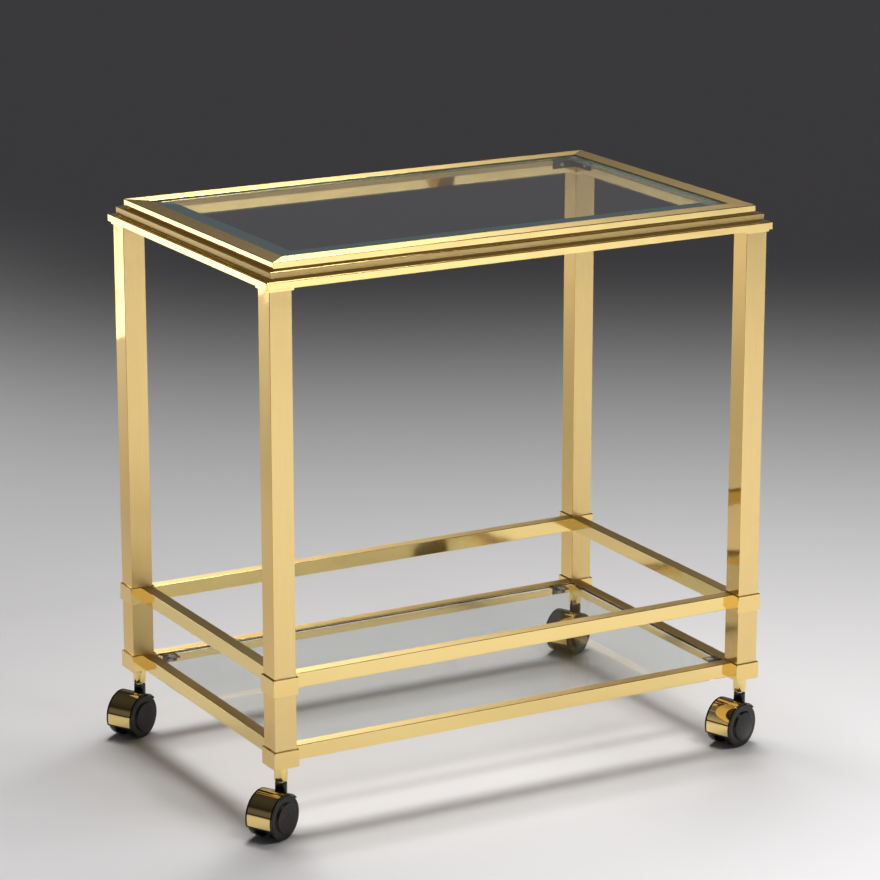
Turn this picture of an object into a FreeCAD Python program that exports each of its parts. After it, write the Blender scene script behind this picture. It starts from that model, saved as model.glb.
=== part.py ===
"""Dessert trolley: four square brass legs under a stepped, mitred top frame that holds a
bevelled glass top, with a gallery rail and a glass shelf low down and four swivel casters.

Units are millimetres. X runs along the long side, Y from the front to the back, Z up.
The origin is on the floor, under the middle of the trolley's outline with its casters turned.
Each corner has its own frame: it starts at the leg's outer corner, its X runs along the side
that starts there and its Y runs inward, so one set of sizes serves all four corners.
"""
import FreeCAD, Part
import os
import Sketcher
from FreeCAD import Placement, Rotation, Vector

doc = FreeCAD.newDocument("dessert_trolley")
dims = doc.addObject("Spreadsheet::Sheet", "Dims")

DIMENSIONS = [
    ("span_x", 705.5, "long side, over the outer faces of the legs"),
    ("span_y", 446.5, "short side, over the outer faces of the legs"),
    ("top_height", 720, "floor to the upper face of the top frame"),
    ("plan_x", 15.2, "middle of the four legs, from the origin"),
    ("plan_y", 8.2, "middle of the four legs, from the origin"),
    ("leg_side", 30, "square leg tube"),
    ("leg_wall", 1.5, "wall of the leg tube"),
    ("leg_edge", 0.8, "rounding of the leg's long edges"),
    ("leg_foot", 88.5, "floor to the lower end of a leg"),
    ("slip", 0.05, "gap between parts that slide together when fitted"),
    ("cap_thickness", 3.2, "plate between leg and top frame"),
    ("cap_overhang", 2.2, "how far that plate stands out past the leg"),
    ("frame_depth", 30, "height of the top frame"),
    ("frame_outset", 5.25, "top frame past the leg's outer face"),
    ("lower_tier", 9.5, "height of the lowest step of the top frame"),
    ("middle_tier", 8, "height of the middle step"),
    ("rim_tier", 8, "height of the top step, the rim"),
    ("lower_reveal", 2.5, "height of the groove over the lowest step"),
    ("tier_step", 8, "each step back of the top frame"),
    ("reveal_depth", 3, "how far a groove runs under the step above it"),
    ("rim_lip", 6, "rim past the frame's inner wall"),
    ("frame_wall", 2.5, "wall of the top frame's hollow"),
    ("frame_round", 0.9, "rounding of the top frame's edges"),
    ("key_arm", 46, "arm of the corner key inside the top frame"),
    ("glass_thickness", 6, "top glass"),
    ("glass_sink", 0.2, "top glass below the rim"),
    ("glass_gap", 1, "round the top glass"),
    ("bevel_width", 21, "bevel of the top glass"),
    ("bevel_drop", 1.6, "fall of the bevel to the edge of the glass"),
    ("pad_thickness", 1.2, "soft pad under glass"),
    ("pad_side", 8, "soft pad under glass, square"),
    ("bracket_arm", 40, "corner bracket under the top glass"),
    ("bracket_plate", 2, "plate of the corner bracket"),
    ("bracket_flange", 13, "height of its flanges"),
    ("sheet_metal", 1.5, "flanges of brackets and clips"),
    ("collar_wall", 2.2, "sleeve round the leg where rails meet it"),
    ("collar_height", 22, "height of that sleeve"),
    ("collar_round", 0.6, "rounding of the sleeve's upright edges"),
    ("gallery_height", 182, "floor to the lower edge of the gallery sleeves"),
    ("rail_height", 19, "rail tube"),
    ("rail_width", 16, "rail tube"),
    ("rail_wall", 1.2, "rail tube"),
    ("rail_round", 0.8, "rounding of the rail's long edges"),
    ("rail_setback", 15, "rail's outer face from the leg's outer face"),
    ("rail_lift", 1.5, "rail above the lower edge of the sleeves"),
    ("spigot_length", 10, "stub of the sleeve inside the rail"),
    ("shelf_thickness", 5, "shelf glass"),
    ("shelf_gap", 2, "shelf glass to the rails"),
    ("shelf_sink", 2.5, "shelf glass below the top of the rails"),
    ("clip_width", 20, "shelf clip along the rail"),
    ("clip_height", 15, "shelf clip"),
    ("clip_tab", 12, "tab of the clip under the glass"),
    ("clip_from_sleeve", 20, "middle of the clip from the sleeve"),
    ("plug_depth", 12, "block inside each end of a leg"),
    ("tenon_side", 10, "square tenon on the upper block"),
    ("tenon_reach", 10, "tenon inside the corner key"),
    ("ferrule_radius", 8.5, "brass ferrule between leg and caster"),
    ("ferrule_height", 20, "its height"),
    ("stem_radius", 4.5, "steel stem of the caster"),
    ("stem_gap", 0.06, "round the stem in the caster"),
    ("stem_end_gap", 0.3, "under the stem in the caster"),
    ("stem_end_lift", 4, "lower end of the stem above the neck's foot"),
    ("trail", 18, "swivel axis to axle"),
    ("wheel_radius", 28.5, "caster wheel"),
    ("neck_radius", 7.6, "neck of the caster body"),
    ("neck_top", 65, "floor to the top of the neck"),
    ("neck_foot", 3, "lower end of the neck above the axle"),
    ("hood_radius", 30.6, "hood over the wheels"),
    ("hood_wall", 1.4, "its wall"),
    ("hood_width", 39.4, "its width over both wheels"),
    ("hood_start", 40, "angle of the hood's end beside the neck, in degrees"),
    ("hood_sweep", 160, "angle that the hood covers, in degrees"),
    ("trim_width", 34.4, "plated strip on the hood"),
    ("trim_recess", 0.6, "depth of its seat in the hood"),
    ("trim_start", 80, "angle of its end beside the neck, in degrees"),
    ("trim_sweep", 116, "angle that it covers, in degrees"),
    ("trim_end_gap", 0.3, "angle between the strip's end and its seat's, in degrees"),
    ("web_thickness", 15, "web between the wheels"),
    ("boss_radius", 7, "web round the axle"),
    ("axle_radius", 3, "caster axle"),
    ("axle_gap", 0.05, "round the axle in a wheel"),
    ("web_gap", 0.4, "between the web and a wheel"),
    ("wheel_outside", 19.7, "outer edge of a wheel's tread from the middle"),
    ("hub_radius", 19.2, "raised hub disc"),
    ("hub_proud", 2.6, "hub disc past the tread"),
    ("axle_proud", 1, "axle past the tread"),
    ("swivel_front_left", 207.6, "direction of the trail from +X, in degrees"),
    ("swivel_front_right", 199.8, "direction of the trail from +X, in degrees"),
    ("swivel_back_right", 206, "direction of the trail from +X, in degrees"),
    ("swivel_back_left", 209.4, "direction of the trail from +X, in degrees"),
]
for row, (alias, value, meaning) in enumerate(DIMENSIONS, start=1):
    dims.set(f"A{row}", alias)
    dims.set(f"B{row}", str(value))
    dims.set(f"C{row}", meaning)
    dims.setAlias(f"B{row}", alias)
doc.recompute()

# Heights and distances that follow from the sheet, as expressions.
FRAME_UNDER = "(Dims.top_height - Dims.frame_depth)"
LEG_HEAD = f"({FRAME_UNDER} - Dims.cap_thickness)"
RIM_UNDER = "(Dims.top_height - Dims.rim_tier)"
RIM_EDGE = "(Dims.leg_side + Dims.rim_lip)"
GLASS_UNDER = "(Dims.top_height - Dims.glass_sink - Dims.glass_thickness)"
SHELF_RAIL = "(Dims.leg_foot + Dims.rail_lift)"
RAIL_START = "(Dims.leg_side + Dims.collar_wall)"
RAIL_INSIDE = "(Dims.rail_setback + Dims.rail_width)"
SHELF_TOP = f"({SHELF_RAIL} + Dims.rail_height - Dims.shelf_sink)"
SHELF_UNDER = f"({SHELF_TOP} - Dims.shelf_thickness)"
TAB_TOP = f"({SHELF_UNDER} - Dims.pad_thickness)"
TAB_UNDER = f"({TAB_TOP} - Dims.sheet_metal)"
FLANGE_FOOT = f"({SHELF_TOP} - Dims.clip_height)"
LEG_MIDDLE = "(Dims.leg_side / 2)"
STEM_END = "(Dims.wheel_radius + Dims.neck_foot + Dims.stem_end_lift)"

CORNERS = {
    "front_left": (-1, -1, 0),
    "front_right": (1, -1, 90),
    "back_right": (1, 1, 180),
    "back_left": (-1, 1, 270),
}
SIDES = {
    "front": ("front_left", "Dims.span_x"),
    "right": ("front_right", "Dims.span_y"),
    "back": ("back_right", "Dims.span_x"),
    "left": ("back_left", "Dims.span_y"),
}
# Ends of the shelf rails that carry a clip: the start or the end of each side.
CLIP_ENDS = {
    "front": ("start", "end"),
    "right": ("start",),
    "back": ("start", "end"),
    "left": ("end",),
}
nodes = {}


def number(expression):
    """The present value of an expression, in millimetres or degrees."""
    return float(dims.evalExpression(expression))


def spot(corner, along, inward):
    """X and Y expressions of a point given in the frame of a corner."""
    side_x, side_y, turn = CORNERS[corner]
    shift_x, shift_y = {
        0: (f"+ ({along})", f"+ ({inward})"),
        90: (f"- ({inward})", f"+ ({along})"),
        180: (f"- ({along})", f"- ({inward})"),
        270: (f"+ ({inward})", f"- ({along})"),
    }[turn]
    return (
        f"Dims.plan_x + {side_x} * Dims.span_x / 2 {shift_x}",
        f"Dims.plan_y + {side_y} * Dims.span_y / 2 {shift_y}",
    )


def put(piece, corner, along, inward, height, turn=None, tip=None):
    """Place a piece at a point of a corner's frame; turn is about Z, tip is done first."""
    angle = CORNERS[corner][2] if turn is None else turn
    rotation = Rotation(Vector(0, 0, 1), angle)
    if tip is not None:
        rotation = rotation.multiply(tip)
    piece.Placement = Placement(Vector(0, 0, 0), rotation)
    x, y = spot(corner, along, inward)
    piece.setExpression("Placement.Base.x", x)
    piece.setExpression("Placement.Base.y", y)
    piece.setExpression("Placement.Base.z", height)
    return piece


def keep(name, piece):
    """Label a finished sub-part, which names its file."""
    piece.Label = name
    nodes[name] = piece


def keep_group(name, pieces):
    """Identical pieces that share one node."""
    group = doc.addObject("Part::Compound", name)
    group.Links = pieces
    keep(name, group)


def new_body(name):
    return doc.addObject("PartDesign::Body", name)


def sketch_on(body, role, name, lift=None, swing=None):
    """A sketch on one of the body's own planes, lifted off it or swung about its Y axis."""
    plane = next(item for item in body.Origin.OriginFeatures if item.Role == role)
    sketch = body.newObject("Sketcher::SketchObject", name)
    sketch.AttachmentSupport = [(plane, "")]
    sketch.MapMode = "FlatFace"
    if lift is not None:
        sketch.setExpression("AttachmentOffset.Base.z", lift)
    if swing is not None:
        sketch.AttachmentOffset = Placement(Vector(0, 0, 0), Rotation(Vector(0, 1, 0), number(swing)))
        sketch.setExpression("AttachmentOffset.Rotation.Angle", swing)
    return sketch


def pin_point(sketch, element, vertex, x, y):
    """Hold a point of the sketch at x, y from the sketch's origin."""
    for kind, size, axis in (("DistanceX", x, -2), ("DistanceY", y, -1)):
        if size == "0":
            sketch.addConstraint(Sketcher.Constraint("PointOnObject", element, vertex, axis))
        else:
            rule = Sketcher.Constraint(kind, -1, 1, element, vertex, number(size))
            index = sketch.addConstraint(rule)
            sketch.setExpression(f"Constraints[{index}]", size)


def outline(sketch, corners):
    """Closed outline of straight lines through corners, given as pairs of expressions."""
    first = sketch.GeometryCount
    points = [Vector(number(x), number(y), 0) for x, y in corners]
    for start, end in zip(points, points[1:] + points[:1]):
        sketch.addGeometry(Part.LineSegment(start, end))
    last = sketch.GeometryCount - 1
    for element in range(first, last + 1):
        follower = first if element == last else element + 1
        sketch.addConstraint(Sketcher.Constraint("Coincident", element, 2, follower, 1))
    for element, (x, y) in enumerate(corners, start=first):
        pin_point(sketch, element, 1, x, y)


def rectangle(sketch, x_low, y_low, x_high, y_high):
    outline(sketch, [(x_low, y_low), (x_high, y_low), (x_high, y_high), (x_low, y_high)])


def circle(sketch, x, y, radius):
    centre = Vector(number(x), number(y), 0)
    element = sketch.addGeometry(Part.Circle(centre, Vector(0, 0, 1), number(radius)))
    pin_point(sketch, element, 3, x, y)
    index = sketch.addConstraint(Sketcher.Constraint("Radius", element, number(radius)))
    sketch.setExpression(f"Constraints[{index}]", radius)


def pad(body, sketch, length, both_ways=False, down=False):
    feature = body.newObject("PartDesign::Pad", "Pad")
    feature.Profile = sketch
    feature.Midplane = both_ways
    feature.Reversed = down
    feature.setExpression("Length", length)
    doc.recompute()
    return feature


def pocket(body, sketch, depth=None, with_normal=False, both_ways=False):
    """Cut a sketch out of the body, right through it where no depth is given."""
    before = body.Shape.Volume
    feature = body.newObject("PartDesign::Pocket", "Pocket")
    feature.Profile = sketch
    feature.Reversed = with_normal
    feature.Midplane = both_ways
    if depth is None:
        feature.Type = "ThroughAll"
    else:
        feature.setExpression("Length", depth)
    doc.recompute()
    if feature.Shape.Volume > before - 0.1:
        raise RuntimeError(f"{body.Name}: the pocket {feature.Name} removed nothing")
    return feature


def revolve(body, sketch, angle=None, kind="PartDesign::Revolution"):
    """Turn a sketch about its own vertical axis, all the way where no angle is given."""
    feature = body.newObject(kind, "Turned")
    feature.Profile = sketch
    feature.ReferenceAxis = (sketch, ["V_Axis"])
    feature.Angle = 360
    if angle is not None:
        feature.Reversed = True
        feature.setExpression("Angle", angle)
    doc.recompute()
    return feature


def long_edges(shape, axis, points=None):
    """Names of the edges along an axis, at the given points or at the shape's own corners."""
    others = [index for index in range(3) if index != axis]
    box = shape.BoundBox
    low = (box.XMin, box.YMin, box.ZMin)
    high = (box.XMax, box.YMax, box.ZMax)
    if points is None:
        p, q = others
        points = [(a, b) for a in (low[p], high[p]) for b in (low[q], high[q])]
    names = []
    for index, edge in enumerate(shape.Edges, start=1):
        start, end = edge.Vertexes[0].Point, edge.Vertexes[-1].Point
        if abs(end[axis] - start[axis]) < 0.5 * edge.Length:
            continue
        here = [start[other] for other in others]
        if any(abs(here[0] - a) < 1e-4 and abs(here[1] - b) < 1e-4 for a, b in points):
            names.append(f"Edge{index}")
    return names


def fillet(body, base, radius, edges):
    feature = body.newObject("PartDesign::Fillet", "Rounded")
    feature.Base = (base, edges)
    feature.setExpression("Radius", radius)
    doc.recompute()
    return feature


# Legs: square brass tube, rounded along its long edges.
for corner in CORNERS:
    leg = new_body(f"leg_{corner}")
    section = sketch_on(leg, "XY_Plane", "Section")
    rectangle(section, "0", "0", "Dims.leg_side", "Dims.leg_side")
    bore_far = "Dims.leg_side - Dims.leg_wall"
    rectangle(section, "Dims.leg_wall", "Dims.leg_wall", bore_far, bore_far)
    tube = pad(leg, section, f"{LEG_HEAD} - Dims.leg_foot")
    fillet(leg, tube, "Dims.leg_edge", long_edges(tube.Shape, 2))
    put(leg, corner, "0", "0", "Dims.leg_foot")
    keep(f"leg_{corner}", leg)


# Blocks pressed into both ends of each leg. The lower one is bored for the caster's stem. The
# upper one has a square tenon, which runs through cap and rail into the corner key.
def leg_block(corner, name, height, bore=None):
    block = new_body(name)
    section = sketch_on(block, "XY_Plane", "Section")
    near = "Dims.leg_wall + Dims.slip"
    far = "Dims.leg_side - Dims.leg_wall - Dims.slip"
    rectangle(section, near, near, far, far)
    if bore is not None:
        circle(section, LEG_MIDDLE, LEG_MIDDLE, bore)
    pad(block, section, "Dims.plug_depth")
    return put(block, corner, "0", "0", height)


def tenon(sketch, x, y, slip="0"):
    """The square of a tenon about a point, with a gap round it where it is a hole."""
    half = f"(Dims.tenon_side / 2 + {slip})"
    rectangle(sketch, f"{x} - {half}", f"{y} - {half}", f"{x} + {half}", f"{y} + {half}")


top_blocks = []
for corner in CORNERS:
    block = leg_block(corner, f"top_plug_{corner}", f"{LEG_HEAD} - Dims.plug_depth")
    tip = sketch_on(block, "XY_Plane", "Tenon", lift="Dims.plug_depth")
    tenon(tip, LEG_MIDDLE, LEG_MIDDLE)
    pad(block, tip, "Dims.cap_thickness + Dims.frame_wall + Dims.tenon_reach")
    top_blocks.append(block)
keep_group("leg_top_plugs", top_blocks)
keep_group("leg_bottom_plugs", [
    leg_block(corner, f"bottom_plug_{corner}", "Dims.leg_foot", bore="Dims.stem_radius + Dims.slip")
    for corner in CORNERS
])


# Cap plates, which stand out a little between each leg and the top frame.
def leg_cap(corner):
    cap = new_body(f"cap_{corner}")
    section = sketch_on(cap, "XY_Plane", "Section")
    far = "Dims.leg_side + Dims.cap_overhang"
    rectangle(section, "-Dims.cap_overhang", "-Dims.cap_overhang", far, far)
    tenon(section, LEG_MIDDLE, LEG_MIDDLE, "Dims.slip")
    pad(cap, section, "Dims.cap_thickness")
    return put(cap, corner, "0", "0", LEG_HEAD)


keep_group("leg_caps", [leg_cap(corner) for corner in CORNERS])

# Top frame: four hollow rails with one stepped section, mitred at the corners. In the section
# X runs inward from the outermost step and Y up from the underside.
INNER_WALL = "(Dims.frame_outset + Dims.leg_side)"
LIP_EDGE = f"({INNER_WALL} + Dims.rim_lip)"
MIDDLE_UNDER = "(Dims.lower_tier + Dims.lower_reveal)"
MIDDLE_TOP = f"({MIDDLE_UNDER} + Dims.middle_tier)"
RIM_LOW = "(Dims.frame_depth - Dims.rim_tier)"
SECTION = [
    ("0", "0"),
    (INNER_WALL, "0"),
    (INNER_WALL, RIM_LOW),
    (LIP_EDGE, RIM_LOW),
    (LIP_EDGE, "Dims.frame_depth"),
    ("2 * Dims.tier_step", "Dims.frame_depth"),
    ("2 * Dims.tier_step", RIM_LOW),
    ("2 * Dims.tier_step + Dims.reveal_depth", RIM_LOW),
    ("2 * Dims.tier_step + Dims.reveal_depth", MIDDLE_TOP),
    ("Dims.tier_step", MIDDLE_TOP),
    ("Dims.tier_step", MIDDLE_UNDER),
    ("Dims.tier_step + Dims.reveal_depth", MIDDLE_UNDER),
    ("Dims.tier_step + Dims.reveal_depth", "Dims.lower_tier"),
    ("0", "Dims.lower_tier"),
]
ROUNDED_CORNERS = [SECTION[index] for index in (0, 4, 5, 9, 10, 13)]
HOLLOW = (
    "Dims.tier_step + Dims.reveal_depth + Dims.frame_wall",
    "Dims.frame_wall",
    f"{INNER_WALL} - Dims.frame_wall",
    f"{MIDDLE_TOP} - Dims.frame_wall",
)
for side, (corner, span) in SIDES.items():
    length = f"({span} + 2 * Dims.frame_outset)"
    rail = new_body(f"top_rail_{side}")
    section = sketch_on(rail, "YZ_Plane", "Section")
    outline(section, SECTION)
    rectangle(section, *HOLLOW)
    stock = pad(rail, section, length)
    ridge_points = [(number(x), number(y)) for x, y in ROUNDED_CORNERS]
    fillet(rail, stock, "Dims.frame_round", long_edges(stock.Shape, 0, ridge_points))
    mitre = sketch_on(rail, "XY_Plane", "Mitre")
    outline(mitre, [("0", "0"), ("0", LIP_EDGE), (LIP_EDGE, LIP_EDGE)])
    outline(mitre, [(length, "0"), (length, LIP_EDGE), (f"{length} - {LIP_EDGE}", LIP_EDGE)])
    pocket(rail, mitre, with_normal=True)
    tenon_holes = sketch_on(rail, "XY_Plane", "Tenon_holes")
    tenon_in = f"(Dims.frame_outset + {LEG_MIDDLE})"
    for along in (tenon_in, f"{length} - {tenon_in}"):
        tenon(tenon_holes, along, tenon_in, "Dims.slip")
    pocket(rail, tenon_holes, depth="Dims.frame_wall + Dims.slip", with_normal=True)
    put(rail, corner, "-Dims.frame_outset", "-Dims.frame_outset", FRAME_UNDER)
    keep(f"top_rail_{side}", rail)


# Corner keys: L-shaped blocks inside the hollow, which hold each mitre shut.
def corner_key(corner):
    key = new_body(f"key_{corner}")
    section = sketch_on(key, "XY_Plane", "Section")
    near = f"({HOLLOW[0]} - Dims.frame_outset + Dims.slip)"
    far = f"({HOLLOW[2]} - Dims.frame_outset - Dims.slip)"
    tip = f"({near} + Dims.key_arm)"
    outline(section, [(near, near), (tip, near), (tip, far), (far, far), (far, tip), (near, tip)])
    tenon(section, LEG_MIDDLE, LEG_MIDDLE, "Dims.slip")
    pad(key, section, f"{HOLLOW[3]} - {HOLLOW[1]} - 2 * Dims.slip")
    return put(key, corner, "0", "0", f"{FRAME_UNDER} + {HOLLOW[1]} + Dims.slip")


keep_group("corner_keys", [corner_key(corner) for corner in CORNERS])


# Corner brackets: a three-sided plate under the top glass with a flange down each rail.
def corner_bracket(corner):
    bracket = new_body(f"bracket_{corner}")
    near = "Dims.leg_side"
    tip = "Dims.leg_side + Dims.bracket_arm"
    plate = sketch_on(bracket, "XY_Plane", "Plate")
    outline(plate, [(near, near), (tip, near), (near, tip)])
    pad(bracket, plate, "Dims.bracket_plate", down=True)
    flanges = sketch_on(bracket, "XY_Plane", "Flanges", lift="-Dims.bracket_plate")
    inside = "Dims.leg_side + Dims.sheet_metal"
    end = "Dims.leg_side + Dims.bracket_arm - 2 * Dims.sheet_metal"
    outline(flanges, [(near, near), (end, near), (end, inside), (inside, inside), (inside, end), (near, end)])
    pad(bracket, flanges, "Dims.bracket_flange", down=True)
    return put(bracket, corner, "0", "0", RIM_UNDER)


keep_group("corner_brackets", [corner_bracket(corner) for corner in CORNERS])


# Top glass: a flat sheet whose upper face falls away in a wide bevel on all four sides.
glass = new_body("top_glass")
GLASS_EDGE = f"({RIM_EDGE} + Dims.glass_gap)"
glass_x = f"(Dims.span_x - 2 * {GLASS_EDGE})"
glass_y = f"(Dims.span_y - 2 * {GLASS_EDGE})"
square_edge = "(Dims.glass_thickness - Dims.bevel_drop)"
sheet_outline = sketch_on(glass, "XY_Plane", "Sheet")
rectangle(sheet_outline, "0", "0", glass_x, glass_y)
pad(glass, sheet_outline, square_edge)
bevel_foot = sketch_on(glass, "XY_Plane", "Bevel_foot", lift=square_edge)
rectangle(bevel_foot, "0", "0", glass_x, glass_y)
bevel_head = sketch_on(glass, "XY_Plane", "Bevel_head", lift="Dims.glass_thickness")
rectangle(
    bevel_head,
    "Dims.bevel_width",
    "Dims.bevel_width",
    f"{glass_x} - Dims.bevel_width",
    f"{glass_y} - Dims.bevel_width",
)
bevel = glass.newObject("PartDesign::AdditiveLoft", "Bevel")
bevel.Profile = bevel_foot
bevel.Sections = [bevel_head]
bevel.Ruled = True
doc.recompute()
put(glass, "front_left", GLASS_EDGE, GLASS_EDGE, GLASS_UNDER)
keep("top_glass", glass)


# Sleeves round the legs, each with two stubs that carry the ends of the rails.
def sleeve(name, corner, height):
    body = new_body(name)
    section = sketch_on(body, "XY_Plane", "Section")
    low, far = "-Dims.collar_wall", "Dims.leg_side + Dims.collar_wall"
    rectangle(section, low, low, far, far)
    rectangle(section, "-Dims.slip", "-Dims.slip", "Dims.leg_side + Dims.slip", "Dims.leg_side + Dims.slip")
    ring = pad(body, section, "Dims.collar_height")
    fillet(body, ring, "Dims.collar_round", long_edges(ring.Shape, 2))
    stub_low = "Dims.rail_setback + Dims.rail_wall + Dims.slip"
    stub_high = f"{RAIL_INSIDE} - Dims.rail_wall - Dims.slip"
    stub_start = "Dims.leg_side + Dims.collar_wall / 2"
    stub_end = f"{RAIL_START} + Dims.spigot_length"
    stubs_lift = "Dims.rail_lift + Dims.rail_wall + Dims.slip"
    stubs_height = "Dims.rail_height - 2 * Dims.rail_wall - 2 * Dims.slip"
    for name_, box in (
        ("Stub_along", (stub_start, stub_low, stub_end, stub_high)),
        ("Stub_inward", (stub_low, stub_start, stub_high, stub_end)),
    ):
        stub = sketch_on(body, "XY_Plane", name_, lift=stubs_lift)
        rectangle(stub, *box)
        pad(body, stub, stubs_height)
    put(body, corner, "0", "0", height)
    keep(name, body)


# Rails: rounded rectangular tube from sleeve to sleeve.
def rail_tube(name, corner, span, height):
    body = new_body(name)
    section = sketch_on(body, "YZ_Plane", "Section")
    rectangle(section, "0", "0", "Dims.rail_width", "Dims.rail_height")
    wall = "Dims.rail_wall"
    rectangle(section, wall, wall, f"Dims.rail_width - {wall}", f"Dims.rail_height - {wall}")
    tube = pad(body, section, f"{span} - 2 * {RAIL_START}")
    fillet(body, tube, "Dims.rail_round", long_edges(tube.Shape, 0))
    put(body, corner, RAIL_START, "Dims.rail_setback", height)
    keep(name, body)


for level, height in (("gallery", "Dims.gallery_height"), ("shelf", "Dims.leg_foot")):
    for corner in CORNERS:
        sleeve(f"{level}_collar_{corner}", corner, height)
    for side, (corner, span) in SIDES.items():
        rail_tube(f"{level}_rail_{side}", corner, span, f"{height} + Dims.rail_lift")

# Shelf glass: a plain sheet between the shelf rails.
shelf = new_body("shelf_glass")
SHELF_EDGE = f"({RAIL_INSIDE} + Dims.shelf_gap)"
shelf_outline = sketch_on(shelf, "XY_Plane", "Sheet")
rectangle(shelf_outline, "0", "0", f"Dims.span_x - 2 * {SHELF_EDGE}", f"Dims.span_y - 2 * {SHELF_EDGE}")
pad(shelf, shelf_outline, "Dims.shelf_thickness")
put(shelf, "front_left", SHELF_EDGE, SHELF_EDGE, SHELF_UNDER)
keep("shelf_glass", shelf)


def clip_place(span, end):
    """Middle of a clip along its side, from the corner where the side starts."""
    from_corner = f"({RAIL_START} + Dims.clip_from_sleeve)"
    return from_corner if end == "start" else f"({span} - {from_corner})"


# Shelf clips: a flange screwed to the rail's inner face and a tab under the glass.
def shelf_clip(name, corner, along):
    body = new_body(name)
    profile = sketch_on(body, "YZ_Plane", "Profile")
    outline(profile, [
        ("0", FLANGE_FOOT),
        ("Dims.sheet_metal", FLANGE_FOOT),
        ("Dims.sheet_metal", TAB_UNDER),
        ("Dims.clip_tab", TAB_UNDER),
        ("Dims.clip_tab", TAB_TOP),
        ("Dims.sheet_metal", TAB_TOP),
        ("Dims.sheet_metal", SHELF_TOP),
        ("0", SHELF_TOP),
    ])
    pad(body, profile, "Dims.clip_width", both_ways=True)
    return put(body, corner, along, RAIL_INSIDE, "0")


# Soft pads that carry both glasses.
def glass_pad(name, corner, along, inward, height):
    body = new_body(name)
    square = sketch_on(body, "XY_Plane", "Square")
    half = "Dims.pad_side / 2"
    rectangle(square, f"-{half}", f"-{half}", half, half)
    pad(body, square, "Dims.pad_thickness")
    return put(body, corner, along, inward, height)


clips, pads = [], []
for side, (corner, span) in SIDES.items():
    for end in CLIP_ENDS[side]:
        along = clip_place(span, end)
        clips.append(shelf_clip(f"clip_{side}_{end}", corner, along))
        inward = f"{RAIL_INSIDE} + Dims.clip_tab - Dims.pad_side / 2"
        pads.append(glass_pad(f"shelf_pad_{side}_{end}", corner, along, inward, TAB_TOP))
for corner in CORNERS:
    inward = f"{RIM_EDGE} + Dims.pad_side / 2 + Dims.glass_gap"
    pads.append(glass_pad(f"top_pad_{corner}", corner, inward, inward, RIM_UNDER))
keep_group("glass_clips", clips)
keep_group("glass_pads", pads)


# Ferrules under the legs and the steel stems on which the casters swivel.
def ferrule(corner):
    body = new_body(f"ferrule_{corner}")
    profile = sketch_on(body, "XZ_Plane", "Profile")
    bore = "Dims.stem_radius + Dims.slip"
    rectangle(profile, bore, "0", "Dims.ferrule_radius", "Dims.ferrule_height")
    revolve(body, profile)
    return put(body, corner, LEG_MIDDLE, LEG_MIDDLE, "Dims.leg_foot - Dims.ferrule_height")


def stem(corner):
    body = new_body(f"stem_{corner}")
    rod = sketch_on(body, "XY_Plane", "Rod")
    circle(rod, "0", "0", "Dims.stem_radius")
    pad(body, rod, f"Dims.leg_foot + Dims.plug_depth - {STEM_END}")
    return put(body, corner, LEG_MIDDLE, LEG_MIDDLE, STEM_END)


keep_group("caster_ferrules", [ferrule(corner) for corner in CORNERS])
keep_group("caster_stems", [stem(corner) for corner in CORNERS])


# Casters. The frame of a caster's pieces starts on the axle, midway between the wheels; its
# X points to the neck, its Y along the axle and its Z up.
def at_axle(piece, corner, flip=0):
    """Place a piece on the axle, behind the swivel axis in the direction of the trail."""
    heading = f"Dims.swivel_{corner}"
    x, y = spot(corner, LEG_MIDDLE, LEG_MIDDLE)
    piece.Placement = Placement(Vector(0, 0, 0), Rotation(Vector(0, 0, 1), 1))
    piece.setExpression("Placement.Base.x", f"{x} + Dims.trail * cos({heading})")
    piece.setExpression("Placement.Base.y", f"{y} + Dims.trail * sin({heading})")
    piece.setExpression("Placement.Base.z", "Dims.wheel_radius")
    piece.setExpression("Placement.Rotation.Angle", f"{heading} - 180 + {flip}")


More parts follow.
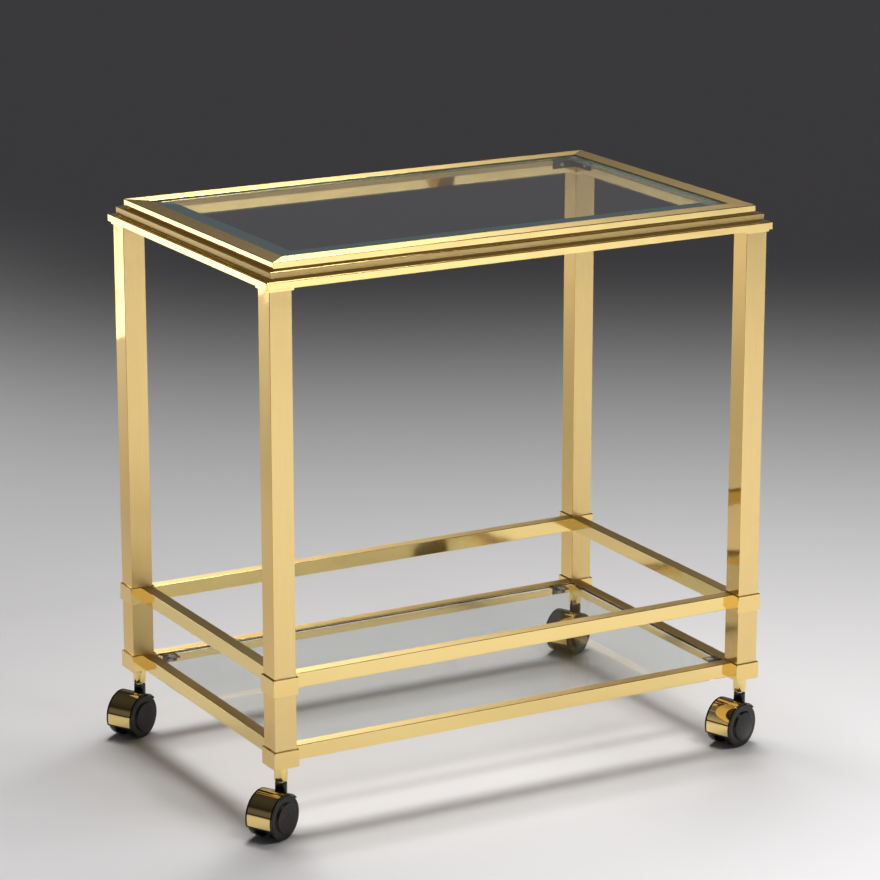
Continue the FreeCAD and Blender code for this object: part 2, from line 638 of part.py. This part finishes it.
def caster_body(corner):
    """Moulded body: hood, web between the wheels, boss round the axle and neck for the stem."""
    body = new_body(f"caster_{corner}_body")
    half_web = "Dims.web_thickness / 2"
    hood_inside = "Dims.hood_radius - Dims.hood_wall"
    hood = sketch_on(body, "XY_Plane", "Hood", swing="-Dims.hood_start")
    rectangle(hood, hood_inside, "-Dims.hood_width / 2", "Dims.hood_radius", "Dims.hood_width / 2")
    revolve(body, hood, "Dims.hood_sweep")
    web = sketch_on(body, "XY_Plane", "Web", swing="-Dims.hood_start")
    rectangle(web, "0", f"-{half_web}", f"{hood_inside} + Dims.trim_recess / 2", half_web)
    revolve(body, web, "Dims.hood_sweep")
    boss = sketch_on(body, "XZ_Plane", "Boss")
    circle(boss, "0", "0", "Dims.boss_radius")
    pad(body, boss, "Dims.web_thickness", both_ways=True)
    neck = sketch_on(body, "XY_Plane", "Neck", lift="Dims.neck_foot")
    circle(neck, "Dims.trail", "0", "Dims.neck_radius")
    pad(body, neck, "Dims.neck_top - Dims.wheel_radius - Dims.neck_foot")
    seat = sketch_on(body, "XY_Plane", "Trim_seat", swing="-Dims.trim_start")
    half_seat = "(Dims.trim_width / 2 + Dims.slip)"
    rectangle(
        seat,
        "Dims.hood_radius - Dims.trim_recess",
        f"-{half_seat}",
        "Dims.hood_radius + Dims.trim_recess",
        half_seat,
    )
    revolve(body, seat, "Dims.trim_sweep", kind="PartDesign::Groove")
    bore = sketch_on(body, "XY_Plane", "Stem_bore", lift="Dims.neck_top - Dims.wheel_radius")
    circle(bore, "Dims.trail", "0", "Dims.stem_radius + Dims.stem_gap")
    pocket(body, bore, depth=f"Dims.neck_top - {STEM_END} + Dims.stem_end_gap")
    axle_hole = sketch_on(body, "XZ_Plane", "Axle_hole")
    circle(axle_hole, "0", "0", "Dims.axle_radius + Dims.slip / 2")
    pocket(body, axle_hole, both_ways=True)
    at_axle(body, corner)
    keep(f"caster_{corner}_body", body)


def caster_trim(corner):
    """Plated strip that lies in its seat along the hood."""
    body = new_body(f"caster_{corner}_trim")
    strip = sketch_on(body, "XY_Plane", "Strip", swing="-(Dims.trim_start + Dims.trim_end_gap)")
    inside = "Dims.hood_radius - Dims.trim_recess + Dims.slip"
    rectangle(strip, inside, "-Dims.trim_width / 2", "Dims.hood_radius - Dims.slip", "Dims.trim_width / 2")
    revolve(body, strip, "Dims.trim_sweep - 2 * Dims.trim_end_gap")
    at_axle(body, corner)
    keep(f"caster_{corner}_trim", body)


AXLE_END = "(Dims.wheel_outside + Dims.axle_proud)"


def caster_axle(corner):
    body = new_body(f"caster_{corner}_axle")
    rod = sketch_on(body, "XZ_Plane", "Rod")
    circle(rod, "0", "0", "Dims.axle_radius")
    pad(body, rod, f"2 * {AXLE_END}", both_ways=True)
    at_axle(body, corner)
    keep(f"caster_{corner}_axle", body)


def caster_wheel(corner, hand, flip):
    """Moulded wheel with a raised hub disc, bored blind from the inside for the axle."""
    body = new_body(f"caster_{corner}_wheel_{hand}")
    profile = sketch_on(body, "XY_Plane", "Profile")
    inner_face = "Dims.web_thickness / 2 + Dims.web_gap"
    hub_face = "Dims.wheel_outside + Dims.hub_proud"
    bore = "Dims.axle_radius + Dims.axle_gap"
    bore_end = f"{AXLE_END} + Dims.web_gap"
    outline(profile, [
        ("0", bore_end),
        (bore, bore_end),
        (bore, inner_face),
        ("Dims.wheel_radius", inner_face),
        ("Dims.wheel_radius", "Dims.wheel_outside"),
        ("Dims.hub_radius", "Dims.wheel_outside"),
        ("Dims.hub_radius", hub_face),
        ("0", hub_face),
    ])
    revolve(body, profile)
    at_axle(body, corner, flip)
    keep(f"caster_{corner}_wheel_{hand}", body)


for corner in CORNERS:
    caster_body(corner)
    caster_trim(corner)
    caster_axle(corner)
    caster_wheel(corner, "left", 0)
    caster_wheel(corner, "right", 180)

# Every object must have built, and every sub-part must be sound, before anything is written.
doc.recompute()
for item in doc.Objects:
    if "Invalid" in item.State or "Error" in item.State:
        raise RuntimeError(f"{item.Name} failed: {item.State}")
os.makedirs("parts", exist_ok=True)
for name, piece in nodes.items():
    if piece.Shape.isNull() or not piece.Shape.isValid():
        raise RuntimeError(f"{name} has no sound shape")
for name, piece in nodes.items():
    piece.Shape.exportStep(f"parts/{name}.step")
print(f"{len(nodes)} sub-parts written")
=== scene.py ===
import math

import bpy
import numpy as np
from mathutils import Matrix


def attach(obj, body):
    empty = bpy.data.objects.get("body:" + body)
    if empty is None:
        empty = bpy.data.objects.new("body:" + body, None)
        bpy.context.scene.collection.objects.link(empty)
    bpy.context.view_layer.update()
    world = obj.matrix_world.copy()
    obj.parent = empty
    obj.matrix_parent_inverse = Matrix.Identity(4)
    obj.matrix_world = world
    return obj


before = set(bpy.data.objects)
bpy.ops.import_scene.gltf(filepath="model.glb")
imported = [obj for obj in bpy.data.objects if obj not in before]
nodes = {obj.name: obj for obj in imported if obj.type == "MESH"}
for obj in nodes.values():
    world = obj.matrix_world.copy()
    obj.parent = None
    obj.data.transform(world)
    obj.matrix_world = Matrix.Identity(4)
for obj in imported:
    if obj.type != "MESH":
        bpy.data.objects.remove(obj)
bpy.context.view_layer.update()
scene = bpy.context.scene
scene.view_settings.view_transform = "Standard"

# ---------------------------------------------------------------- the studio
# A long lens looks down on the trolley from its front left corner. The
# trolley stands on a wide, plain, pale floor, under soft lamps.

camera = bpy.data.objects.new("camera", bpy.data.cameras.new("camera"))
camera.data.sensor_width = 36.0
camera.data.lens = 145.80
camera.location = (-2.15483, -3.88072, 1.63814)
camera.rotation_euler = (math.radians(90.0 - 15.4708), 0.0, math.radians(-29.1865))
scene.collection.objects.link(camera)
scene.camera = camera


def link_mesh(name, points, *faces, smooth=False):
    """A mesh object at the origin, from an array of points and arrays of faces."""
    mesh = bpy.data.meshes.new(name)
    mesh.from_pydata(np.asarray(points, float).tolist(), [],
                     [face for group in faces for face in np.asarray(group, int).tolist()])
    mesh.polygons.foreach_set("use_smooth", np.full(len(mesh.polygons), smooth))
    mesh.update()
    made = bpy.data.objects.new(name, mesh)
    scene.collection.objects.link(made)
    return made


def new_material(name):
    """A material with one Principled shader: its node tree and that shader."""
    material = bpy.data.materials.new(name)
    material.use_nodes = True
    tree = material.node_tree
    return material, tree, tree.nodes["Principled BSDF"]


def add(tree, kind, links=None, **settings):
    """A node of a kind, with its settings, and its inputs by name as values or links."""
    node = tree.nodes.new(kind)
    for key, value in settings.items():
        setattr(node, key, value)
    for key, value in (links or {}).items():
        if isinstance(value, bpy.types.NodeSocket):
            tree.links.new(value, node.inputs[key])
        else:
            node.inputs[key].default_value = value
    return node


reach = 20.0
floor = link_mesh("studio_floor",
                  [(-reach, -reach, 0.0), (reach, -reach, 0.0), (reach, reach, 0.0),
                   (-reach, reach, 0.0)],
                  [(0, 1, 2, 3)])
paper, tree, shader = new_material("floor_paper")
shader.inputs["Base Color"].default_value = (0.80, 0.79, 0.795, 1.0)
shader.inputs["Roughness"].default_value = 0.60
shader.inputs["Specular IOR Level"].default_value = 0.1
floor.data.materials.append(paper)

# The panes mirror the floor and the air, and no lamp.
PANES = ("top_glass", "shelf_glass")
lit = bpy.data.collections.new("lit")
for pane in PANES:
    lit.objects.link(nodes[pane])
for member in lit.collection_objects:
    member.light_linking.link_state = "EXCLUDE"


def lamp(name, place, aim, side, spread, power):
    """A square softbox at a place, turned to face its aim. Its grid keeps the
    light within the spread, in degrees."""
    data = bpy.data.lights.new(name, "AREA")
    data.shape = "SQUARE"
    data.size = side
    data.spread = math.radians(spread)
    data.energy = power
    made = bpy.data.objects.new(name, data)
    out = np.subtract(aim, place)
    made.location = place
    made.rotation_euler = (math.atan2(math.hypot(out[0], out[1]), -out[2]), 0.0,
                           math.atan2(out[1], out[0]) - math.pi / 2)
    made.visible_camera = False
    made.light_linking.receiver_collection = lit
    scene.collection.objects.link(made)
    return made


# The lamp overhead has a twin at the same level that lights only the ground
# bevel of the top pane, and that no surface mirrors. The low lamp stands
# behind the left end, and shows in the upper left faces.
over = dict(place=(0.5, 0.8, 3.5), aim=(-0.3, -1.1, 0.0), side=1.5, spread=110.0, power=48.0)
lamp("lamp_over", **over)
twin = lamp("lamp_bevel", **over)
twin.visible_glossy = False
twin.visible_transmission = False
twin.light_linking.receiver_collection = bpy.data.collections.new("lit_bevel")
twin.light_linking.receiver_collection.objects.link(nodes["top_glass"])
lamp("lamp_front", (1.0, -2.6, 3.8), (1.0, -2.8, 0.0), side=1.2, spread=90.0, power=53.0)
lamp("lamp_left", (-1.4, 2.7, 3.4), (-1.4, 2.6, 0.0), side=1.2, spread=60.0, power=14.0)
lamp("lamp_low", (-0.92, 1.23, 0.50), (-1.354, 0.329, 0.50), side=0.42, spread=170.0, power=0.9)

world = bpy.data.worlds.new("studio_air")
scene.world = world
world.use_nodes = True
air = world.node_tree
toward = add(air, "ShaderNodeTexCoord")
height = add(air, "ShaderNodeSeparateXYZ", {"Vector": toward.outputs["Generated"]})
ramp = add(air, "ShaderNodeValToRGB", {"Fac": height.outputs["Z"]})
# The air is dark, with a faint band low over the horizon and a little light
# overhead. Each stop is a height, as the sine of an elevation, and a level.
stops = ((0.03, 0.018), (0.14, 0.11), (0.36, 0.11), (0.50, 0.018), (0.95, 0.055))
while len(ramp.color_ramp.elements) < len(stops):
    ramp.color_ramp.elements.new(0.5)
for stop, (at, level) in zip(ramp.color_ramp.elements, stops):
    stop.position = at
    stop.color = (level, 0.97 * level, 1.02 * level, 1.0)
air.links.new(ramp.outputs["Color"], air.nodes["Background"].inputs["Color"])
air.nodes["Background"].inputs["Strength"].default_value = 1.0

# --------------------------------------------------------------------- legs
# Four square tubes of lacquered brass, standing at the corners of the plan.
# Their front and back faces are brushed along the leg, and their sides are
# polished.

BRASS = (0.970, 0.755, 0.325)
BRASS_DEEP = (0.945, 0.710, 0.270)
BRUSHED_DARK = (0.850, 0.605, 0.240)
BRUSHED_PALE = (0.985, 0.765, 0.350)
SEAM_GRIME = (0.05, 0.03, 0.01)
GRAIN_FINE, GRAIN_LONG = 2400.0, 14.0


def surface_place(tree, centre=(0.0, 0.0, 0.0), stretch=(1.0, 1.0, 1.0)):
    """Object coordinates about a centre, stretched for a pattern."""
    where = add(tree, "ShaderNodeTexCoord")
    about = add(tree, "ShaderNodeMapping", {"Vector": where.outputs["Object"], "Location": centre},
                vector_type="TEXTURE")
    return add(tree, "ShaderNodeVectorMath",
               {0: about.outputs["Vector"], 1: stretch}, operation="MULTIPLY").outputs["Vector"]


def math_node(tree, operation, *values):
    """A Math node's result."""
    node = add(tree, "ShaderNodeMath", dict(enumerate(values)), operation=operation)
    return node.outputs["Value"]


def facing(tree, axis):
    """1 on faces whose own normal lies along an axis (0, 1 or 2), else 0."""
    where = add(tree, "ShaderNodeTexCoord")
    parts = add(tree, "ShaderNodeSeparateXYZ", {"Vector": where.outputs["Normal"]})
    size = math_node(tree, "ABSOLUTE", parts.outputs[axis])
    return add(tree, "ShaderNodeMapRange",
               {"Value": size, "From Min": 0.90, "From Max": 0.985}).outputs["Result"]


def blend(tree, share, first, second, kind="FLOAT"):
    """A mix of two numbers or colours by a share."""
    first_at, second_at, out_at = {"FLOAT": (2, 3, 0), "RGBA": (6, 7, 2)}[kind]
    node = add(tree, "ShaderNodeMix", {0: share, first_at: first, second_at: second},
               data_type=kind)
    return node.outputs[out_at]


def brass(name, along, satin=None, polish=0.06, brushed=0.36, mitre=None,
          tone=(BRASS_DEEP, BRASS)):
    """Lacquered brass. Its brushed grain runs along an axis and lies on the
    faces that satin gives, a function of the tree; the rest is polished, with
    colours between the two of tone. Dark seams lie where mitre gives 1. The
    grain spreads a reflection across itself, along the face's normal x grain."""
    material, tree, shader = new_material(name)
    stretch = [GRAIN_FINE, GRAIN_FINE, GRAIN_FINE]
    stretch[along] = GRAIN_LONG
    grain = add(tree, "ShaderNodeTexNoise",
                {"Vector": surface_place(tree, stretch=stretch), "Scale": 1.0, "Detail": 2.0,
                 "Roughness": 0.6})
    clouds = add(tree, "ShaderNodeTexNoise",
                 {"Vector": surface_place(tree, stretch=(9.0, 9.0, 9.0)), "Scale": 1.0,
                  "Detail": 4.0, "Roughness": 0.55})
    cover = satin(tree) if satin else 0.0
    plain = blend(tree, clouds.outputs["Fac"], (*tone[0], 1.0), (*tone[1], 1.0), "RGBA")
    lined = blend(tree, grain.outputs["Fac"], (*BRUSHED_DARK, 1.0), (*BRUSHED_PALE, 1.0), "RGBA")
    colour = blend(tree, cover, plain, lined, "RGBA")
    if mitre is not None:
        colour = blend(tree, mitre(tree), colour, (*SEAM_GRIME, 1.0), "RGBA")
    tree.links.new(colour, shader.inputs["Base Color"])
    soft = math_node(tree, "MULTIPLY_ADD", clouds.outputs["Fac"], 0.05, polish - 0.02)
    rough = math_node(tree, "MULTIPLY_ADD", grain.outputs["Fac"], 0.10, brushed - 0.05)
    tree.links.new(blend(tree, cover, soft, rough), shader.inputs["Roughness"])
    wave = add(tree, "ShaderNodeTexNoise",
               {"Vector": surface_place(tree), "Scale": 24.0, "Detail": 1.0})
    sway = add(tree, "ShaderNodeBump",
               {"Height": wave.outputs["Fac"], "Strength": 0.35, "Distance": 0.0010})
    depth = math_node(tree, "MULTIPLY", grain.outputs["Fac"], cover)
    bump = add(tree, "ShaderNodeBump",
               {"Height": depth, "Strength": 0.08, "Distance": 0.0001,
                "Normal": sway.outputs["Normal"]})
    tree.links.new(bump.outputs["Normal"], shader.inputs["Normal"])
    if satin:
        # The grain leans a little off its axis, so the product is never nil.
        lay = [0.013, 0.017, 0.011]
        lay[along] = 1.0
        where = add(tree, "ShaderNodeTexCoord")
        across = add(tree, "ShaderNodeVectorMath",
                     {0: where.outputs["Normal"], 1: lay}, operation="CROSS_PRODUCT")
        tree.links.new(across.outputs["Vector"], shader.inputs["Tangent"])
        shader.inputs["Anisotropic"].default_value = 0.8
    shader.inputs["Metallic"].default_value = 1.0
    return material


def dress(names, material):
    """A material on every slot of CAD nodes."""
    for name in names:
        data = nodes[name].data
        if not data.materials:
            data.materials.append(material)
        for at in range(len(data.materials)):
            data.materials[at] = material


def ease_edges(names, width):
    """Rounds the sharp edges of CAD nodes: their loose triangles are joined,
    flat faces made whole, and each edge over 35 degrees bevelled."""
    for name in names:
        join = nodes[name].modifiers.new("join", "WELD")
        join.merge_threshold = 1e-6
        flat = nodes[name].modifiers.new("flat", "DECIMATE")
        flat.decimate_type = "DISSOLVE"
        flat.angle_limit = math.radians(0.5)
        ease = nodes[name].modifiers.new("ease", "BEVEL")
        ease.width = width
        ease.segments = 2
        ease.limit_method = "ANGLE"
        ease.angle_limit = math.radians(35.0)
        ease.harden_normals = True


CORNERS = ("front_left", "front_right", "back_right", "back_left")
leg_brass = brass("leg_brass", along=2, satin=lambda tree: facing(tree, 1),
                  tone=((0.86, 0.58, 0.20), (0.92, 0.65, 0.25)))
dress([f"leg_{corner}" for corner in CORNERS], leg_brass)
dress(["leg_caps"], brass("cap_brass", along=0))
ease_edges(["leg_caps"], 0.0004)

# ---------------------------------------------------------------- top frame
# Four hollow rails of rolled brass in two steps under a flat rim, mitred at
# the corners. The flat of the rim and the middle step are brushed along each
# rail, and the rest is polished.

RIM_FLAT = 0.7185
STEP_MIDDLE, STEP_HALF = 0.706, 0.0042
FRAME_MIDDLE = (0.0152, 0.0082, 0.0)
FRAME_HALF_LENGTH, FRAME_HALF_WIDTH = 0.358, 0.2285
SEAM_REACH = 0.00035


def rolled_satin(side):
    """A function of a tree: 1 on the brushed faces of a rail whose sides face
    an axis, else 0. They are the flat top of the rim and the middle step."""
    def brushed_faces(tree):
        where = add(tree, "ShaderNodeTexCoord")
        place = add(tree, "ShaderNodeSeparateXYZ", {"Vector": where.outputs["Object"]})
        height = place.outputs["Z"]
        top = math_node(tree, "MULTIPLY", facing(tree, 2),
                        math_node(tree, "GREATER_THAN", height, RIM_FLAT))
        from_step = math_node(tree, "ABSOLUTE", math_node(tree, "SUBTRACT", height, STEP_MIDDLE))
        near_step = math_node(tree, "LESS_THAN", from_step, STEP_HALF)
        return math_node(tree, "MAXIMUM", top,
                         math_node(tree, "MULTIPLY", facing(tree, side), near_step))
    return brushed_faces


def mitre_line(tree):
    """1 within 0.25 mm of the four mitre planes, where both distances from
    the frame's outer sides are the same."""
    place = add(tree, "ShaderNodeSeparateXYZ",
                {"Vector": surface_place(tree, centre=FRAME_MIDDLE)})
    from_end = math_node(tree, "SUBTRACT", FRAME_HALF_LENGTH,
                         math_node(tree, "ABSOLUTE", place.outputs["X"]))
    from_side = math_node(tree, "SUBTRACT", FRAME_HALF_WIDTH,
                          math_node(tree, "ABSOLUTE", place.outputs["Y"]))
    apart = math_node(tree, "ABSOLUTE", math_node(tree, "SUBTRACT", from_end, from_side))
    return math_node(tree, "LESS_THAN", apart, SEAM_REACH)


dress(["top_rail_front", "top_rail_back"],
      brass("rail_brass_long", along=0, satin=rolled_satin(1), brushed=0.45, mitre=mitre_line))
dress(["top_rail_left", "top_rail_right"],
      brass("rail_brass_short", along=1, satin=rolled_satin(0), brushed=0.45, mitre=mitre_line))


def metal(name, dark, light, roughness, scale):
    """A plain metal with soft mottling between two colours."""
    material, tree, shader = new_material(name)
    mottle = add(tree, "ShaderNodeTexNoise",
                 {"Vector": surface_place(tree), "Scale": scale, "Detail": 4.0, "Roughness": 0.6})
    tree.links.new(blend(tree, mottle.outputs["Fac"], (*dark, 1.0), (*light, 1.0), "RGBA"),
                   shader.inputs["Base Color"])
    tree.links.new(math_node(tree, "MULTIPLY_ADD", mottle.outputs["Fac"], 0.14, roughness - 0.07),
                   shader.inputs["Roughness"])
    bump = add(tree, "ShaderNodeBump",
               {"Height": mottle.outputs["Fac"], "Strength": 0.1, "Distance": 0.0002})
    tree.links.new(bump.outputs["Normal"], shader.inputs["Normal"])
    shader.inputs["Metallic"].default_value = 1.0
    return material


steel = metal("zinc_steel", (0.55, 0.54, 0.51), (0.76, 0.75, 0.72), 0.24, scale=300.0)
bronze = metal("dark_bronze", (0.10, 0.07, 0.04), (0.22, 0.15, 0.08), 0.34, scale=120.0)
dress(["corner_keys"], steel)
dress(["corner_brackets"], bronze)
ease_edges(["corner_brackets"], 0.0003)


def screw_heads(name, seats, outward, radius=0.0035, height=0.0020):
    """Pan heads in one mesh, one on each seat and facing outward. A head is a
    polar grid: where r runs from 0 to 1 at its rim, its rise is the root of
    1 - 0.96 r^4, less a recess that is deepest within two crossed slots. A
    wall and a fan close it below."""
    rings, turns = 14, 48
    r, turn = np.meshgrid(np.linspace(1.0 / rings, 1.0, rings),
                          np.arange(turns) * 2.0 * np.pi / turns, indexing="ij")
    x, y = (r * np.cos(turn)).ravel(), (r * np.sin(turn)).ravel()
    slot_length, slot_width = 0.58, 0.14
    slots = np.minimum(np.maximum(abs(x) / slot_length, abs(y) / slot_width),
                       np.maximum(abs(y) / slot_length, abs(x) / slot_width))
    rise = np.sqrt(1.0 - 0.96 * r.ravel() ** 4) - 0.6 * np.clip((1.25 - slots) / 0.5, 0.0, 1.0)
    rim = np.arange(turns) + (rings - 1) * turns
    across = radius * np.concatenate([x, [0.0], x[rim], [0.0]])
    up = radius * np.concatenate([y, [0.0], y[rim], [0.0]])
    out = height * np.concatenate([rise, [0.4], np.full(turns + 1, -0.1)])
    outward = np.asarray(outward, float)[:, None, :]
    sideways = np.cross([0.0, 0.0, 1.0], outward)
    points = (np.asarray(seats, float)[:, None, :] + across[None, :, None] * sideways
              + up[None, :, None] * np.array([0.0, 0.0, 1.0]) + out[None, :, None] * outward)
    here = np.arange(turns)
    onward = (here + 1) % turns
    tops = np.full(turns, rings * turns)
    fan = np.stack([tops, here, onward], 1)
    step = np.arange(rings - 1)[:, None] * turns
    bands = np.stack([step + here, step + turns + here, step + turns + onward, step + onward], -1)
    foot = tops + 1
    wall = np.stack([rim[here], foot + here, foot + onward, rim[onward]], 1)
    under = np.stack([foot + turns, foot + onward, foot + here], 1)
    shift = (np.arange(len(seats)) * points.shape[1])[:, None, None]
    threes = (np.concatenate([fan, under]) + shift).reshape(-1, 3)
    fours = (np.concatenate([bands.reshape(-1, 4), wall]) + shift).reshape(-1, 4)
    heads = link_mesh(name, points.reshape(-1, 3), threes, fours, smooth=True)
    heads.data.materials.append(steel)
    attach(heads, "frame")


# The outer corners of the legs, from which the fixings are set out. Each
# bracket has a screw in both flanges, near their ends.
west, east, south, north = -0.33755, 0.36795, -0.21505, 0.23145
bracket_end, bracket_face, bracket_height = 0.054, 0.0315, 0.7035
screw_heads("bracket_screw_heads",
            [(x + inward * along, y + deep * off, bracket_height)
             for x, inward in ((west, 1), (east, -1)) for y, deep in ((south, 1), (north, -1))
             for along, off in ((bracket_end, bracket_face), (bracket_face, bracket_end))],
            [(0, deep, 0) if flat else (inward, 0, 0)
             for inward in (1, -1) for deep in (1, -1) for flat in (True, False)])

# -------------------------------------------------------------- glass panes
# Two plates of clear float glass. The top one lies in the frame's rim and has
# a wide ground and polished bevel; the lower one rests on clips.


# The bevel's teal: partly the glass's own green tint, partly painted light standing in for light
# trapped inside the pane.
BEVEL_TINT_AND_TRAPPED_GLOW = (0.22, 0.32, 0.32)


def glass(name, tint, ground=None):
    """Clear glass whose body has a faint, cloudy tint. The faces that ground
    gives, a function of the tree, show a painted teal and let less light
    through: partly the glass's own green edge tint, partly painted light that
    stands in for light trapped inside the pane."""
    material, tree, shader = new_material(name)
    smear = add(tree, "ShaderNodeTexNoise",
                {"Vector": surface_place(tree, stretch=(1.0, 2.2, 1.0)), "Scale": 7.0,
                 "Detail": 5.0, "Roughness": 0.6, "Distortion": 0.6})
    body = blend(tree, smear.outputs["Fac"], (*tint, 1.0), (0.97, 0.99, 0.985, 1.0), "RGBA")
    shader.inputs["Transmission Weight"].default_value = 1.0
    if ground is not None:
        # Painted light: the bevel turns partly opaque and shows a flat teal in place of light
        # trapped in the pane.
        edge = ground(tree)
        body = blend(tree, edge, body, (*BEVEL_TINT_AND_TRAPPED_GLOW, 1.0), "RGBA")
        tree.links.new(blend(tree, edge, 1.0, 0.72), shader.inputs["Transmission Weight"])
    tree.links.new(body, shader.inputs["Base Color"])
    shader.inputs["Roughness"].default_value = 0.0
    shader.inputs["IOR"].default_value = 1.52
    return material


def bevel_faces(tree):
    """1 on the bevel, which leans 4 degrees from level, else 0."""
    where = add(tree, "ShaderNodeTexCoord")
    lean = add(tree, "ShaderNodeSeparateXYZ", {"Vector": where.outputs["Normal"]}).outputs["Z"]
    return math_node(tree, "MULTIPLY", math_node(tree, "LESS_THAN", lean, 0.999),
                     math_node(tree, "GREATER_THAN", lean, 0.9))


dress(["top_glass"], glass("top_glass", (0.93, 0.97, 0.96), ground=bevel_faces))
dress(["shelf_glass"], glass("shelf_glass", (0.94, 0.98, 0.96)))
for pane in PANES:
    nodes[pane].visible_shadow = False
    nodes[pane].visible_diffuse = False

# ----------------------------------------------- gallery rail and shelf rail
# Two rings of flat brass tube, one round the shelf and one above it, pushed
# over stubs on square brass collars that sleeve the legs.

collars = [f"{ring}_collar_{corner}" for ring in ("gallery", "shelf") for corner in CORNERS]
dress(collars, brass("collar_brass", along=2, tone=((0.90, 0.65, 0.24), (0.95, 0.71, 0.29))))
ease_edges(collars, 0.0003)
for side, along in (("front", 0), ("back", 0), ("left", 1), ("right", 1)):
    dress([f"gallery_rail_{side}", f"shelf_rail_{side}"],
          brass(f"tube_brass_{side}", along=along, satin=lambda tree: facing(tree, 2), polish=0.09,
                brushed=0.45))

# ------------------------------------------------------- shelf glass fixings
# Six bronze clips screwed to the inside of the shelf rail. Clear soft pads
# carry the glass on them, and under the corners of the top glass. Steel plugs
# close the legs.

pad, tree, shader = new_material("soft_pad")
haze = add(tree, "ShaderNodeTexNoise",
           {"Vector": surface_place(tree), "Scale": 400.0, "Detail": 2.0})
PAD_DULL, PAD_CLEAR = (0.52, 0.54, 0.53), (0.66, 0.68, 0.67)
tree.links.new(blend(tree, haze.outputs["Fac"], (*PAD_DULL, 1.0), (*PAD_CLEAR, 1.0), "RGBA"),
               shader.inputs["Base Color"])
shader.inputs["Roughness"].default_value = 0.45
dress(["glass_clips"], bronze)
ease_edges(["glass_clips"], 0.0003)
dress(["glass_pads"], pad)
dress(["leg_top_plugs", "leg_bottom_plugs"], steel)
clip_along, clip_face, clip_height = 0.0522, 0.0325, 0.09515
screw_heads("clip_screw_heads",
            [(west + clip_along, south + clip_face, clip_height),
             (east - clip_along, south + clip_face, clip_height),
             (east - clip_face, south + clip_along, clip_height),
             (east - clip_along, north - clip_face, clip_height),
             (west + clip_along, north - clip_face, clip_height),
             (west + clip_face, south + clip_along, clip_height)],
            [(0, 1, 0), (0, 1, 0), (-1, 0, 0), (0, -1, 0), (0, -1, 0), (1, 0, 0)])

# ------------------------------------------------------------------ casters
# Four twin-wheel furniture casters of glossy black nylon, each on a steel
# stem in a brass ferrule, with a strip of polished brass set into its hood.


def nylon(name, dark, light, roughness, depth=0.05):
    """Moulded nylon: faint mottling, and a very fine orange peel."""
    material, tree, shader = new_material(name)
    peel = add(tree, "ShaderNodeTexNoise",
               {"Vector": surface_place(tree), "Scale": 900.0, "Detail": 2.0, "Roughness": 0.5})
    haze = add(tree, "ShaderNodeTexNoise",
               {"Vector": surface_place(tree), "Scale": 45.0, "Detail": 4.0, "Roughness": 0.6})
    tree.links.new(blend(tree, haze.outputs["Fac"], (*dark, 1.0), (*light, 1.0), "RGBA"),
                   shader.inputs["Base Color"])
    tree.links.new(math_node(tree, "MULTIPLY_ADD", haze.outputs["Fac"], 0.12, roughness - 0.06),
                   shader.inputs["Roughness"])
    bump = add(tree, "ShaderNodeBump",
               {"Height": peel.outputs["Fac"], "Strength": depth, "Distance": 0.0001})
    tree.links.new(bump.outputs["Normal"], shader.inputs["Normal"])
    shader.inputs["Specular IOR Level"].default_value = 0.4
    return material


BLACK = (0.006, 0.005, 0.005)
hood_nylon = nylon("hood_nylon", BLACK, (0.012, 0.010, 0.010), 0.14)
wheel_nylon = nylon("wheel_nylon", BLACK, (0.012, 0.011, 0.010), 0.26, depth=0.12)
dress(["caster_ferrules"], brass("ferrule_brass", along=2))
ease_edges(["caster_ferrules"], 0.0006)
dress(["caster_stems"], steel)
trim = brass("trim_brass", along=2, polish=0.04)
for corner in CORNERS:
    dress([f"caster_{corner}_body"], hood_nylon)
    wheels = [f"caster_{corner}_wheel_left", f"caster_{corner}_wheel_right"]
    dress(wheels, wheel_nylon)
    ease_edges(wheels, 0.0012)
    dress([f"caster_{corner}_trim"], trim)
    dress([f"caster_{corner}_axle"], steel)
